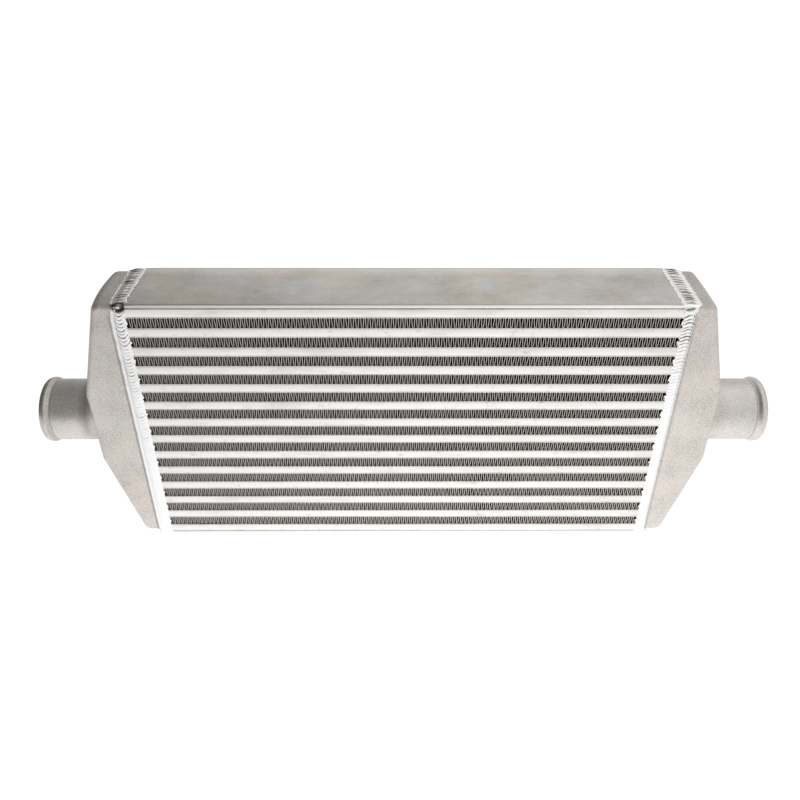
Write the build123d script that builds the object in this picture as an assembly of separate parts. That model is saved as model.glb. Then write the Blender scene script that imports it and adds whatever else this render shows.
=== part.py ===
from build123d import *
import math
import os

# Bar-and-plate air-to-air intercooler: a brazed core with two cast end tanks.
# Frame: X along the charge-air path, Y from front face to back face, Z up.
# The origin is the middle of the bottom side plate's underside. Millimetres.

# Core stack
core_length = 545.0
core_depth = 76.0
passage_count = 14
side_plate_thickness = 4.0
sheet_thickness = 0.8
charge_bar_height = 9.1
charge_bar_depth = 8.0
ambient_row_height = 11.0
ambient_bar_width = 9.1
ambient_bar_nose = 3.4

# Corrugated fins
ambient_fin_waves = 30
ambient_fin_thickness = 0.35
ambient_fin_recess = 1.2
charge_fin_waves = 4
charge_fin_thickness = 0.35
fin_end_clearance = 0.4

# Cast end tanks
tank_inset = 2.6
tank_wall = 4.0
tank_depth = 50.0
tank_shoulder_depth = 22.0
tank_flat_height = 84.0
tank_shoulder_radius = 20.0
tank_corner_radius = 9.0
tank_edge_radius = 5.0

# Hose necks
neck_length = 56.5
neck_diameter = 65.5
neck_wall = 4.0
neck_lip_chamfer = 1.2
bead_diameter = 69.5
bead_width = 8.5
bead_crest_width = 2.5

# Welds between the tanks and the core
weld_lap_core = 9.0
weld_lap_tank = 7.0
weld_crown = 1.7
weld_toe = 0.3
weld_toe_bite = 0.4
weld_prep_depth = 2.4
weld_toe_corner = 0.5
weld_steps = 5

# Sizes that follow from the ones above
row_count = passage_count - 1
passage_height = charge_bar_height + 2 * sheet_thickness
row_pitch = passage_height + ambient_row_height
stack_height = passage_count * passage_height + row_count * ambient_row_height
core_height = stack_height + 2 * side_plate_thickness
mid_height = core_height / 2
core_end = core_length / 2


def save(name, *solids):
    """Write one node, a single solid or a group of separate solids."""
    node = solids[0] if len(solids) == 1 else Compound(children=list(solids))
    export_step(node, os.path.join("parts", name + ".step"))


def block(x_size, y_size, z_size, y, z):
    """Bar or sheet centred in X, at depth y, standing on height z."""
    base = (Align.CENTER, Align.CENTER, Align.MIN)
    return Pos(0, y, z) * Box(x_size, y_size, z_size, align=base)


def passage_bottom(index):
    """Height of the underside of a charge passage, counted from below."""
    return side_plate_thickness + index * row_pitch


def row_bottom(index):
    """Height of the underside of an ambient fin row, counted from below."""
    return passage_bottom(index) + passage_height


def fin_drop(half_wave, height, thickness):
    """Vertical thickness of a slanted fin wall with the given true thickness."""
    steep = (half_wave / thickness) ** 2 - 1
    reach = half_wave**2 + height**2
    return (math.sqrt(height**2 + steep * reach) - height) / steep


def corrugation(waves, width, height, thickness):
    """Zigzag strip face whose crests touch height 0 and the full height."""
    half_wave = width / waves / 2
    drop = fin_drop(half_wave, height, thickness)
    upper = []
    lower = []
    for step in range(2 * waves + 1):
        across = -width / 2 + step * half_wave
        crest = step % 2 == 1
        upper.append((across, height if crest else drop))
        lower.append((across, height - drop if crest else 0))
    return make_face(Polyline(*upper, *reversed(lower), close=True))


def side_plate():
    """Bottom plate, its lower edges planed down at both ends for the weld."""
    prep_start = core_end - weld_lap_core
    outline = Polyline(
        (-core_end, side_plate_thickness),
        (core_end, side_plate_thickness),
        (core_end, weld_prep_depth),
        (prep_start, weld_toe),
        (prep_start, 0),
        (-prep_start, 0),
        (-prep_start, weld_toe),
        (-core_end, weld_prep_depth),
        close=True,
    )
    return extrude(Plane.XZ * make_face(outline), core_depth / 2, both=True)


def charge_passage(index):
    """Two parting sheets held apart by the front and back closing bars."""
    bottom = passage_bottom(index)
    bar_bottom = bottom + sheet_thickness
    bar_top = bar_bottom + charge_bar_height
    bar_y = (core_depth - charge_bar_depth) / 2
    return [
        block(core_length, core_depth, sheet_thickness, 0, bottom),
        block(core_length, core_depth, sheet_thickness, 0, bar_top),
        block(core_length, charge_bar_depth, charge_bar_height, -bar_y, bar_bottom),
        block(core_length, charge_bar_depth, charge_bar_height, bar_y, bar_bottom),
    ]


def charge_fin(index):
    """Corrugated sheet along the inside of a charge passage."""
    inside = core_depth - 2 * charge_bar_depth - 2 * fin_end_clearance
    face = corrugation(charge_fin_waves, inside, charge_bar_height, charge_fin_thickness)
    fin = extrude(Plane.YZ * face, core_length / 2, both=True)
    return Pos(0, 0, passage_bottom(index) + sheet_thickness) * fin


def ambient_fin(index):
    """Corrugated sheet across the core, open from front to back."""
    width = core_length - 2 * ambient_bar_width - 2 * fin_end_clearance
    face = corrugation(ambient_fin_waves, width, ambient_row_height, ambient_fin_thickness)
    fin = extrude(Plane.XZ * face, core_depth / 2 - ambient_fin_recess, both=True)
    return Pos(0, 0, row_bottom(index)) * fin


def ambient_end_bar(index):
    """Closing bar at the right end of a fin row, its nose toward the fins."""
    bottom = row_bottom(index)
    top = bottom + ambient_row_height
    nose_x = core_end - ambient_bar_width
    outline = Polyline(
        (core_end, bottom),
        (core_end, top),
        (nose_x + ambient_bar_nose, top),
        (nose_x, (bottom + top) / 2),
        (nose_x + ambient_bar_nose, bottom),
        close=True,
    )
    return extrude(Plane.XZ * make_face(outline), core_depth / 2, both=True)


def tank_outline():
    """X-Z outline of the right tank, run on into the core by its own depth."""
    half = core_height / 2 - tank_inset
    start = core_end - tank_depth
    corner_x = core_end + tank_shoulder_depth
    outer_x = core_end + tank_depth
    outline = Polyline(
        (start, mid_height - half),
        (corner_x, mid_height - half),
        (outer_x, mid_height - tank_flat_height / 2),
        (outer_x, mid_height + tank_flat_height / 2),
        (corner_x, mid_height + half),
        (start, mid_height + half),
        close=True,
    )
    face = make_face(outline)
    columns = face.vertices().group_by(Axis.X)
    face = fillet(columns[1], tank_corner_radius)
    return fillet(face.vertices().group_by(Axis.X)[-1], tank_shoulder_radius)


def neck_profile():
    """Half-section of the solid neck in X and radius, its bead at the lip."""
    start = core_end + tank_depth - tank_wall
    lip_end = core_end + tank_depth + neck_length
    bead_middle = lip_end - bead_width / 2
    neck_radius = neck_diameter / 2
    bead_radius = bead_diameter / 2
    outline = Polyline(
        (start, 0),
        (lip_end, 0),
        (lip_end, neck_radius - neck_lip_chamfer),
        (bead_middle + bead_crest_width / 2, bead_radius),
        (bead_middle - bead_crest_width / 2, bead_radius),
        (lip_end - bead_width, neck_radius),
        (start, neck_radius),
        close=True,
    )
    return make_face(outline)


def tank_skin():
    """Outer form of the right tank without its neck, cut off at the core."""
    depth = core_depth - 2 * tank_inset
    skin = extrude(Plane.XZ * tank_outline(), depth / 2, both=True)
    skin = fillet(skin.faces().filter_by(Axis.Y).edges(), tank_edge_radius)
    return outboard(skin)


def outboard(solid):
    """Keep what lies beyond the core's right end."""
    return split(solid, Plane((core_end, 0, 0), z_dir=(1, 0, 0)), keep=Keep.TOP)


def end_tank():
    """Right tank: cast shell open toward the core, with its neck and bore."""
    axis_plane = Plane((0, 0, mid_height), x_dir=(1, 0, 0), z_dir=(0, -1, 0))
    neck = revolve(axis_plane * neck_profile(), Axis((0, 0, mid_height), (1, 0, 0)))
    inner_depth = core_depth - 2 * (tank_inset + tank_wall)
    cavity = extrude(Plane.XZ * offset(tank_outline(), -tank_wall), inner_depth / 2, both=True)
    bore_start = core_end + tank_depth - 2 * tank_wall
    bore_length = neck_length + 2 * tank_wall + neck_wall
    bore_align = (Align.CENTER, Align.CENTER, Align.MIN)
    bore = Cylinder(neck_diameter / 2 - neck_wall, bore_length, align=bore_align)
    bore = Plane((bore_start, 0, mid_height), z_dir=(1, 0, 0)) * bore
    return tank_skin() + neck - outboard(cavity) - bore


def core_envelope():
    """Outer form of the brazed core, with the planed plate ends."""
    between = core_height - 2 * side_plate_thickness
    middle = block(core_length, core_depth, between, 0, side_plate_thickness)
    return middle + side_plate() + top_side_plate()


def top_side_plate():
    """The side plate turned over and set on the top of the stack."""
    return mirror(side_plate(), about=Plane.XY.offset(mid_height))


def weld_section(step):
    """Outline around the joint at one station, its corners cut at 45 degrees."""
    share = step / weld_steps
    x = core_end - weld_lap_core + share * (weld_lap_core + weld_lap_tank)
    sink = (tank_inset + weld_toe_bite) * share**2
    crown = weld_toe * (1 - share) + 4 * weld_crown * share * (1 - share)
    tank_corner = tank_edge_radius * (2 - math.sqrt(2))
    corner = weld_toe_corner + (tank_corner - weld_toe_corner) * share**2
    outline = Rectangle(core_depth + 2 * (crown - sink), core_height - 2 * sink)
    outline = chamfer(outline.vertices(), corner)
    return Plane((x, 0, mid_height), x_dir=(0, 1, 0), z_dir=(1, 0, 0)) * outline


def weld_bead():
    """Right weld: one bead all round the joint, lapping core and tank."""
    sections = [weld_section(step) for step in range(weld_steps + 1)]
    return loft(sections, ruled=True) - core_envelope() - tank_skin()


def build():
    """Make every node of the intercooler and write it to the parts folder."""
    os.makedirs("parts", exist_ok=True)
    save("bottom_side_plate", side_plate())
    save("top_side_plate", top_side_plate())
    for index in range(passage_count):
        number = f"{index + 1:02d}"
        save("charge_passage_" + number, *charge_passage(index))
        save("charge_fin_" + number, charge_fin(index))
    for index in range(row_count):
        number = f"{index + 1:02d}"
        right_bar = ambient_end_bar(index)
        save("ambient_fin_" + number, ambient_fin(index))
        save("ambient_end_bars_" + number, right_bar, mirror(right_bar, about=Plane.YZ))
    right_tank = end_tank()
    right_bead = weld_bead()
    save("right_end_tank", right_tank)
    save("left_end_tank", mirror(right_tank, about=Plane.YZ))
    save("right_weld_bead", right_bead)
    save("left_weld_bead", mirror(right_bead, about=Plane.YZ))


build()
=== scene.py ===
import math
import bpy
import numpy as np
from mathutils import Matrix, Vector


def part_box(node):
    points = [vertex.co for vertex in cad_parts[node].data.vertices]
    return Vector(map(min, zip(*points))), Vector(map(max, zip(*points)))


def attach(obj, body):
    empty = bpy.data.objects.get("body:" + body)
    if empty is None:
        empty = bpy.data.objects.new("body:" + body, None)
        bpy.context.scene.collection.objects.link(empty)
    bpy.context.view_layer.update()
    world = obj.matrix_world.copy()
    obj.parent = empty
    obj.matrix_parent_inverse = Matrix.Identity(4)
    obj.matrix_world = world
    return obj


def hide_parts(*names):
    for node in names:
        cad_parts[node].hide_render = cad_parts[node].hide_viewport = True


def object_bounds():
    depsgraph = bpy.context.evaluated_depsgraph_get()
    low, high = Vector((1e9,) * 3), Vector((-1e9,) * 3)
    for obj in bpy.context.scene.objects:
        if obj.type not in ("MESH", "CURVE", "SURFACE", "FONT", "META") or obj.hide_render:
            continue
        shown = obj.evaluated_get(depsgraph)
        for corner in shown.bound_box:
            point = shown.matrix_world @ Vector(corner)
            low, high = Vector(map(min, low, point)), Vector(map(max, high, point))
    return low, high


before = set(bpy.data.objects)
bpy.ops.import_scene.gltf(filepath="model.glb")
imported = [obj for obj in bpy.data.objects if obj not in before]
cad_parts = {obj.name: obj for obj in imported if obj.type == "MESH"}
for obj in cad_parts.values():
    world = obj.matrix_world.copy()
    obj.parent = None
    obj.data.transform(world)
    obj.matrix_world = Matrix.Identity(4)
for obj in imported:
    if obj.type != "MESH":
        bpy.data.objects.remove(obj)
cad_low, cad_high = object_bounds()
MM = 0.001

# ---------------------------------------------------------------- charge passages
# Each passage is a flat duct that carries hot air from tank to tank. Two parting
# sheets are held apart by an extruded closing bar at the front and one at the back,
# and all four are furnace brazed together.

passage_names = sorted(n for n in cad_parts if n.startswith("charge_passage_"))
core_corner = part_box("bottom_side_plate")[1]
CORE_END = core_corner.x
CORE_HALF_DEPTH = core_corner.y
SHEET_THICKNESS = 0.8 * MM
BAR_DEPTH = 8.0 * MM
BAR_EDGE_RADIUS = 0.7 * MM
SHEET_EDGE_RADIUS = 0.3 * MM
BAR_SETBACK = 0.1 * MM
OUTER_SHEET_SETBACK = {-1: 0.3 * MM, 1: 1.4 * MM}


def linear(hex_colour):
    """Linear RGBA of an sRGB hex value: each channel below 0.04045 is divided by
    12.92, and the rest is raised to the power 2.4 after an offset of 0.055."""
    channels = [int(hex_colour[i:i + 2], 16) / 255 for i in (1, 3, 5)]
    curve = [c / 12.92 if c <= 0.04045 else ((c + 0.055) / 1.055) ** 2.4 for c in channels]
    return (*curve, 1.0)


def add(tree, kind, *values, out=0, sockets=None, stops=(), **settings):
    """Adds a node and returns one of its outputs. Values fill its inputs in order,
    sockets holds further inputs by name or number, stops are the positions and hex
    colours of a ramp, and settings are its own properties. A value that is another
    node's output is linked."""
    node = tree.nodes.new("ShaderNode" + kind)
    for name, value in settings.items():
        setattr(node, name, value)
    for index, (position, colour) in enumerate(stops):
        elements = node.color_ramp.elements
        element = elements[index] if index < 2 else elements.new(1.0)
        element.position = position
        element.color = linear(colour)
    for key, value in {**dict(enumerate(values)), **(sockets or {})}.items():
        if isinstance(value, bpy.types.NodeSocket):
            tree.links.new(value, node.inputs[key])
        else:
            node.inputs[key].default_value = value
    return node.outputs[out] if node.outputs else None


def new_material(name):
    """A material with an empty node tree, and the tree."""
    material = bpy.data.materials.new(name)
    material.use_nodes = True
    material.node_tree.nodes.clear()
    return material, material.node_tree


def mottle(tree, spacing, detail=3.0, roughness=0.55):
    """Cloudy value from 0 to 1 whose blotches lie the given millimetres apart, as one
    number for all directions or one each for X, Y and Z. It is a noise read at the
    Object place divided by that spacing."""
    per_metre = 1 / (np.ones(3) * spacing * MM)
    place = add(tree, "Mapping", add(tree, "TexCoord", out="Object"), sockets={"Scale": per_metre.tolist()})
    return add(tree, "TexNoise", place, sockets={"Scale": 1.0, "Detail": detail, "Roughness": roughness})


def brazed_bar_material():
    """Extruded 3003 bar after the furnace: bright, dulled in patches about 55 mm long
    and stained brown in small spots by flux, with drawing lines along it. Real lines
    are a tenth of a millimetre apart, and are drawn at half a millimetre to show."""
    material, tree = new_material("brazed_extruded_bar")
    patches = mottle(tree, (55.56, 55.56, 11.11), 4.0)
    drawing_lines = mottle(tree, (166.7, 500, 0.5556), 2.0)
    specks = mottle(tree, 2.381, 2.0, 0.7)
    flux_spots = mottle(tree, (11.11, 6.667, 6.667), 5.0, 0.75)
    dull = add(tree, "MapRange", patches, 0.3, 0.7, 0, 0.8)
    pitted = add(tree, "MapRange", specks, 0.62, 0.75, 0, 0.25)
    tone = add(tree, "Math", dull, pitted, operation="SUBTRACT")
    colour = add(tree, "ValToRGB", tone, stops=[(0.0, "#e6e2dd"), (0.35, "#f8f5f1"), (0.8, "#fffefb")])
    stained = add(tree, "MapRange", flux_spots, 0.58, 0.7, 0, 0.4)
    colour = add(tree, "Mix", stained, sockets={6: colour, 7: linear("#ab9c90")}, out=2, data_type="RGBA")
    rough = add(tree, "MapRange", patches, 0.3, 0.75, 0.32, 0.52)
    normal = add(tree, "Bump", sockets={"Height": drawing_lines, "Distance": 0.02 * MM})
    normal = add(tree, "Bump", sockets={"Height": specks, "Distance": 0.03 * MM, "Normal": normal})
    surface = add(tree, "BsdfPrincipled", colour, 1.0, rough, sockets={"Normal": normal})
    add(tree, "OutputMaterial", surface)
    return material


def rounded_rectangle(width, height, radius, steps=4):
    """Closed outline, counter-clockwise: four quarter circles of one radius whose
    centres lie that radius inside the corners of the rectangle."""
    turn = np.linspace(0, math.pi / 2, steps)
    corners = []
    for quarter, (sx, sz) in enumerate([(1, 1), (-1, 1), (-1, -1), (1, -1)]):
        angle = turn + quarter * math.pi / 2
        x = sx * (width / 2 - radius) + radius * np.cos(angle)
        z = sz * (height / 2 - radius) + radius * np.sin(angle)
        corners.append(np.stack([x, z], 1))
    return np.concatenate(corners)


def tube_faces(rings, around, start=0):
    """Quads of a grid of rings, closed around, numbered ring by ring."""
    ring = np.arange(rings - 1)[:, None] * around
    here = np.arange(around)[None, :]
    after = (here + 1) % around
    quads = np.stack([ring + here, ring + after, ring + around + after, ring + around + here], -1)
    return quads.reshape(-1, 4) + start


def capped(rings):
    """Closed skin over rings of points, with a flat cap on the first and the last."""
    count = len(rings[0])
    last = (len(rings) - 1) * count
    caps = [list(range(count))[::-1], list(range(last, last + count))]
    return np.concatenate(rings), tube_faces(len(rings), count).tolist() + caps


def bar_along_x(outline, y, z, x_low, x_high):
    """A (Y, Z) outline carried straight along X, with a flat cap at each end."""
    ends = []
    for x in (x_low, x_high):
        ends.append(np.column_stack([np.full(len(outline), x), outline[:, 0] + y, outline[:, 1] + z]))
    return capped(ends)


def joined(parts):
    """One list of vertices and one of faces from several (vertices, faces)."""
    vertices, faces, start = [], [], 0
    for part_vertices, part_faces in parts:
        vertices.append(part_vertices)
        faces += [[start + i for i in face] for face in part_faces]
        start += len(part_vertices)
    return np.concatenate(vertices), faces


def new_piece(name, vertices, faces, material, slot, smooth_angle=35):
    """A mesh object at the origin, shaded smooth up to the given edge angle."""
    mesh = bpy.data.meshes.new(name)
    mesh.from_pydata(np.asarray(vertices).tolist(), [], faces)
    mesh.validate()
    mesh.materials.append(material)
    mesh.shade_smooth()
    mesh.set_sharp_from_angle(angle=math.radians(smooth_angle))
    piece = bpy.data.objects.new(name, mesh)
    bpy.context.scene.collection.objects.link(piece)
    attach(piece, "root")
    return piece


brazed_bar = brazed_bar_material()
for name in passage_names:
    low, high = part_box(name)
    middle = (low.z + high.z) / 2
    bar_height = high.z - low.z - 2 * SHEET_THICKNESS
    bar = rounded_rectangle(BAR_DEPTH - BAR_SETBACK, bar_height, BAR_EDGE_RADIUS)
    bar_y = CORE_HALF_DEPTH - BAR_SETBACK - (BAR_DEPTH - BAR_SETBACK) / 2
    sheet_z = (bar_height + SHEET_THICKNESS) / 2
    parts = [bar_along_x(bar, side * bar_y, middle, low.x, high.x) for side in (-1, 1)]
    for side, outermost in ((-1, passage_names[0]), (1, passage_names[-1])):
        setback = OUTER_SHEET_SETBACK[side] if name == outermost else 0
        sheet = rounded_rectangle(2 * (CORE_HALF_DEPTH - setback), SHEET_THICKNESS, SHEET_EDGE_RADIUS)
        parts.append(bar_along_x(sheet, 0, middle + side * sheet_z, low.x, high.x))
    piece = new_piece("duct_" + name[-2:], *joined(parts), brazed_bar, "core_bar")
    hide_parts(name)

# ---------------------------------------------------------------- closing bars of the fin rows
# Short extruded bars with a pointed nose shut each fin row at its left and right end.
# They are brazed between the parting sheets and almost hidden under the weld.

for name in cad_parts:
    if name.startswith("ambient_end_bars_"):
        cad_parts[name].material_slots[0].material = brazed_bar

# ---------------------------------------------------------------- cooling fins
# Thin aluminium strip folded into about 118 upright waves a row, open from front to
# back, brazed by its crests to the sheets above and below. Pitch and lean wander a
# little, as they do on machine-folded fins. The strip is drawn thick enough to show.

FIN_WAVES = 118
FIN_THICKNESS = 0.5 * MM
FIN_STEPS = 18
FIN_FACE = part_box("ambient_fin_01")[1].y
FIN_SQUARENESS = 3.2
FIN_LEAN = 0.25 * MM
FIN_LEAN_CYCLES = 5
FIN_WANDER = 0.5 * MM
FIN_WANDER_CYCLES = (3, 7, 17, 41)
FIN_HIGHLIGHT_FROM, FIN_HIGHLIGHT_FULL = FIN_FACE - 0.5 * MM, FIN_FACE - 0.1 * MM


def fin_stock_material():
    """Fin strip after brazing: dull grey with a brown cast in cloudy patches of flux smoke,
    lightened toward the lower rows by painted light, with a painted highlight on the front
    edges that is stronger toward the bottom."""
    material, tree = new_material("fin_stock")
    here = add(tree, "TexCoord", out="Object")
    height = add(tree, "SeparateXYZ", here, out="Z")
    from_middle = add(tree, "Math", add(tree, "SeparateXYZ", here, out="Y"), operation="ABSOLUTE")
    smoke = add(tree, "MapRange", mottle(tree, 16.67), 0.3, 0.7, 0, 0.5)
    # Painted light: the lower rows are drawn lighter, as if lit from below.
    less_shade_below = add(tree, "MapRange", height, 0, 260 * MM, 0.5, 0.0)
    tone = add(tree, "Math", smoke, less_shade_below, operation="ADD")
    colour = add(tree, "ValToRGB", tone, stops=[(0.0, "#847973"), (0.5, "#b4a8a2"), (1.0, "#e3d8d2")])
    # Painted highlight: the front edges of the strip are drawn near white, more strongly toward the bottom.
    fin_edge_highlight = add(tree, "MapRange", from_middle, FIN_HIGHLIGHT_FROM, FIN_HIGHLIGHT_FULL, 0, 1)
    brighter_below = add(tree, "MapRange", height, 20 * MM, 200 * MM, 0.95, 0.62)
    fin_edge_highlight = add(tree, "Math", fin_edge_highlight, brighter_below, operation="MULTIPLY")
    colour = add(tree, "Mix", fin_edge_highlight, sockets={6: colour, 7: linear("#fffaf7")}, out=2, data_type="RGBA")
    surface = add(tree, "BsdfPrincipled", colour, 1.0, 0.5)
    add(tree, "OutputMaterial", surface)
    return material


def fin_row(low, high, seed):
    """Folded strip as a closed skin. Along the row the centre line rises and falls as
    tanh of a sine, which gives upright walls and rounded crests, and the skin is that
    line moved half a thickness both ways along its normal. Phase wanders by a slow
    sine, and height adds a sideways lean. Both ease off toward the ends of the row."""
    random = np.random.default_rng(seed)
    width = high.x - low.x
    rise = (high.z - low.z - FIN_THICKNESS) / 2
    middle = (low.z + high.z) / 2
    turn = np.linspace(0, FIN_WAVES, FIN_WAVES * FIN_STEPS + 1)
    level = np.tanh(FIN_SQUARENESS * np.sin(2 * math.pi * turn)) / math.tanh(FIN_SQUARENESS)
    share = turn / FIN_WAVES
    ease = np.sin(math.pi * share)
    x = low.x + width * share
    for cycles in FIN_WANDER_CYCLES:
        push = random.normal(0, FIN_WANDER / cycles ** 0.5)
        x = x + ease * push * np.sin(2 * math.pi * (cycles * share + random.random()))
    tilt = random.normal(0, FIN_LEAN)
    lean = tilt + FIN_LEAN * np.sin(2 * math.pi * (FIN_LEAN_CYCLES * share + random.random()))
    x = x + lean * level * ease
    z = middle + rise * level
    along = np.gradient(x)
    up = np.gradient(z)
    length = np.hypot(along, up)
    offset_x = -up / length * FIN_THICKNESS / 2
    offset_z = along / length * FIN_THICKNESS / 2
    upper = np.stack([x + offset_x, z + offset_z], 1)
    lower = np.stack([x - offset_x, z - offset_z], 1)
    count = len(x)
    outline = np.concatenate([upper, lower[::-1]])
    outline[:, 0] = np.clip(outline[:, 0], low.x, high.x)
    outline[:, 1] = np.clip(outline[:, 1], low.z, high.z)
    rings = []
    for y in (low.y, high.y):
        rings.append(np.column_stack([outline[:, 0], np.full(2 * count, y), outline[:, 1]]))
    vertices = np.concatenate(rings)
    sides = tube_faces(2, 2 * count)[:, ::-1]
    step = np.arange(count - 1)
    mirror = 2 * count - 1 - step
    front = np.stack([step, mirror, mirror - 1, step + 1], 1)
    back = front[:, ::-1] + 2 * count
    return vertices, np.concatenate([sides, front, back]).tolist()


fin_stock = fin_stock_material()
for name in sorted(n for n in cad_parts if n.startswith("ambient_fin_")):
    row = int(name[-2:])
    piece = new_piece("fin_row_" + name[-2:], *fin_row(*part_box(name), row), fin_stock, "ambient_fin", 50)
    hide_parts(name)

# ---------------------------------------------------------------- fins inside the ducts
# The same kind of strip, folded the other way round inside each charge passage. Only
# its ends can be seen, through the hose necks.

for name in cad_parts:
    if name.startswith("charge_fin_"):
        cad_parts[name].material_slots[0].material = fin_stock

# ---------------------------------------------------------------- side plates
# Rolled aluminium plate that closes the stack at the top and bottom. The furnace and
# handling leave it satin grey with faint streaks along its length and cloudy stains.

PLATE_EDGE_RADIUS = 0.9 * MM
EDGE_SHADE_FROM, EDGE_SHADE_FULL = CORE_HALF_DEPTH - 2.4 * MM, CORE_HALF_DEPTH - 1.0 * MM
PLATE_HIGHLIGHT_FROM, PLATE_HIGHLIGHT_FULL = CORE_HALF_DEPTH - 0.7 * MM, CORE_HALF_DEPTH - 0.2 * MM
# Distance from the plate's end, and how deep its outer face is ground down there.
PREP_STEPS = [(0, 2.4 * MM), (10.0 * MM, 1.7 * MM), (10.9 * MM, 0.3 * MM),
              (13.5 * MM, 0.22 * MM), (22.0 * MM, 0)]


def rolled_plate_material():
    """Rolled plate: satin grey, streaked along X, with cloudy stains 20 to 80 mm across,
    some warmer than others, and a fine speckle. It is drawn lighter toward the rear, with
    a painted shade line where the face rounds over and a painted highlight on the cut
    edges, brightest to the right and below. Streaks and speckle are drawn coarser than real, to show."""
    material, tree = new_material("rolled_plate")
    clouds = mottle(tree, (59.52, 46.30, 69.44), 6.0, 0.66)
    streaks = mottle(tree, (83.33, 0.7143, 500))
    specks = mottle(tree, 2.0, 3.0, 0.7)
    warmth = mottle(tree, (64.52, 40.32, 80.65), 4.0)
    here = add(tree, "TexCoord", out="Object")
    across = add(tree, "SeparateXYZ", here, out="Y")
    # Drawn lighter and warmer toward the rear.
    lighter_to_rear = add(tree, "MapRange", across, 18 * MM, 34 * MM, 0, 0.4)
    tone = add(tree, "MapRange", clouds, 0.3, 0.7, 0, 0.7)
    for value, weight in ((streaks, 0.12), (specks, 0.28)):
        part = add(tree, "MapRange", value, 0.3, 0.7, 0, weight)
        tone = add(tree, "Math", tone, part, operation="ADD")
    tone = add(tree, "Math", tone, lighter_to_rear, operation="ADD")
    warm = add(tree, "ValToRGB", tone, stops=[(0.0, "#beb6aa"), (0.5, "#e2dacf"), (1.0, "#fbf5ec")])
    grey = add(tree, "ValToRGB", tone, stops=[(0.0, "#b8b7b2"), (0.5, "#dcdbd7"), (1.0, "#f7f5f2")])
    tint = add(tree, "MapRange", warmth, 0.4, 0.6, 0, 1)
    tint = add(tree, "Math", tint, lighter_to_rear, operation="SUBTRACT")
    colour = add(tree, "Mix", tint, sockets={6: warm, 7: grey}, out=2, data_type="RGBA")
    from_middle = add(tree, "Math", across, operation="ABSOLUTE")
    # Painted shade: a thin dark line where the face rounds over, standing for the darker room it mirrors.
    edge_shade_line = add(tree, "MapRange", from_middle, EDGE_SHADE_FROM, EDGE_SHADE_FULL, 0, 0.6)
    colour = add(tree, "Mix", edge_shade_line, sockets={6: colour, 7: linear("#a29c94")}, out=2, data_type="RGBA")
    # Painted highlight on the cut edges, brightest to the right and on the bottom plate.
    cut = add(tree, "MapRange", from_middle, PLATE_HIGHLIGHT_FROM, PLATE_HIGHLIGHT_FULL, 0, 0.95)
    along = add(tree, "SeparateXYZ", here, out="X")
    height = add(tree, "SeparateXYZ", here, out="Z")
    to_the_right = add(tree, "MapRange", along, -250 * MM, 200 * MM, 0, 1)
    below = add(tree, "MapRange", height, 100 * MM, 200 * MM, 1, 0)
    highlight_strength = add(tree, "Math", to_the_right, below, operation="MAXIMUM")
    bright = add(tree, "ValToRGB", highlight_strength, stops=[(0.0, "#dad6d1"), (1.0, "#fffefc")])
    colour = add(tree, "Mix", cut, sockets={6: colour, 7: bright}, out=2, data_type="RGBA")
    rough = add(tree, "MapRange", clouds, 0.3, 0.7, 0.34, 0.5)
    normal = add(tree, "Bump", sockets={"Height": streaks, "Distance": 0.02 * MM})
    normal = add(tree, "Bump", sockets={"Height": specks, "Distance": 0.03 * MM, "Normal": normal})
    surface = add(tree, "BsdfPrincipled", colour, 1.0, rough, sockets={"Normal": normal})
    add(tree, "OutputMaterial", surface)
    return material


def plate(low, high, outward):
    """Rounded rectangle of the plate's section carried along X. Toward both ends its
    outer face is ground down in steps to the groove in which the weld lies."""
    outline = rounded_rectangle(high.y - low.y, high.z - low.z, PLATE_EDGE_RADIUS, 5)
    middle = (low.z + high.z) / 2
    rings = []
    stations = [(low.x + inset, planed) for inset, planed in PREP_STEPS]
    stations += [(high.x - inset, planed) for inset, planed in reversed(PREP_STEPS)]
    for x, planed in stations:
        z = outline[:, 1].copy()
        outer = z * outward > 0
        z[outer] -= outward * planed * (0.5 + 0.5 * np.abs(z[outer]) / np.abs(z).max())
        rings.append(np.column_stack([np.full(len(z), x), outline[:, 0], z + middle]))
    return capped(rings)


rolled_plate = rolled_plate_material()
for name, outward in (("top_side_plate", 1), ("bottom_side_plate", -1)):
    vertices, faces = plate(*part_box(name), outward)
    piece = new_piece("plate_" + name.split("_")[0], vertices, faces, rolled_plate, "side_plate")
    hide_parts(name)

# ---------------------------------------------------------------- end tanks
# Each tank is one sand casting with its hose neck and bead, blasted to an even matte
# grain. It is open toward the core, about 4 mm thick, and welded on all round.

TANK_INSET = 2.6 * MM
TANK_WALL = 4.0 * MM
TANK_FRONT_RADIUS = 5.0 * MM
TANK_BACK_RADIUS = 3.0 * MM
TANK_BACK_INSET = 1.4 * MM
TANK_TOP_INSET = 2.2 * MM
TANK_BOW = {"left": 3.2 * MM, "right": 0.8 * MM}
TANK_CORNER_RADIUS = 9.0 * MM
TANK_SHOULDER_RADIUS = 20.0 * MM
TANK_SHOULDER_DEPTH = 22.0 * MM
TANK_DEPTH = 50.0 * MM
TANK_FLAT_HEIGHT = 84.0 * MM
TANK_GRID = 2.4 * MM
INNER_EDGE_RADIUS = 1.5 * MM
NECK_RADIUS = 32.75 * MM
NECK_WALL = 4.0 * MM
ROOT_RADIUS = 3.5 * MM
ROOT_MARGIN = 1.0 * MM
ROOT_CLEARANCE = 0.1 * MM
HOLE_INTO_ROUND = 0.15
BEAD_RADIUS = 34.75 * MM
BEAD_WIDTH = 10.5 * MM
LIP_RADIUS = 1.2 * MM
BEAD_CREST_FROM_LIP = 5.0 * MM
LIP_DROP = 0.9 * MM
BORE_CHAMFER = 0.8 * MM
TANK_FACE = CORE_END + TANK_DEPTH
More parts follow.
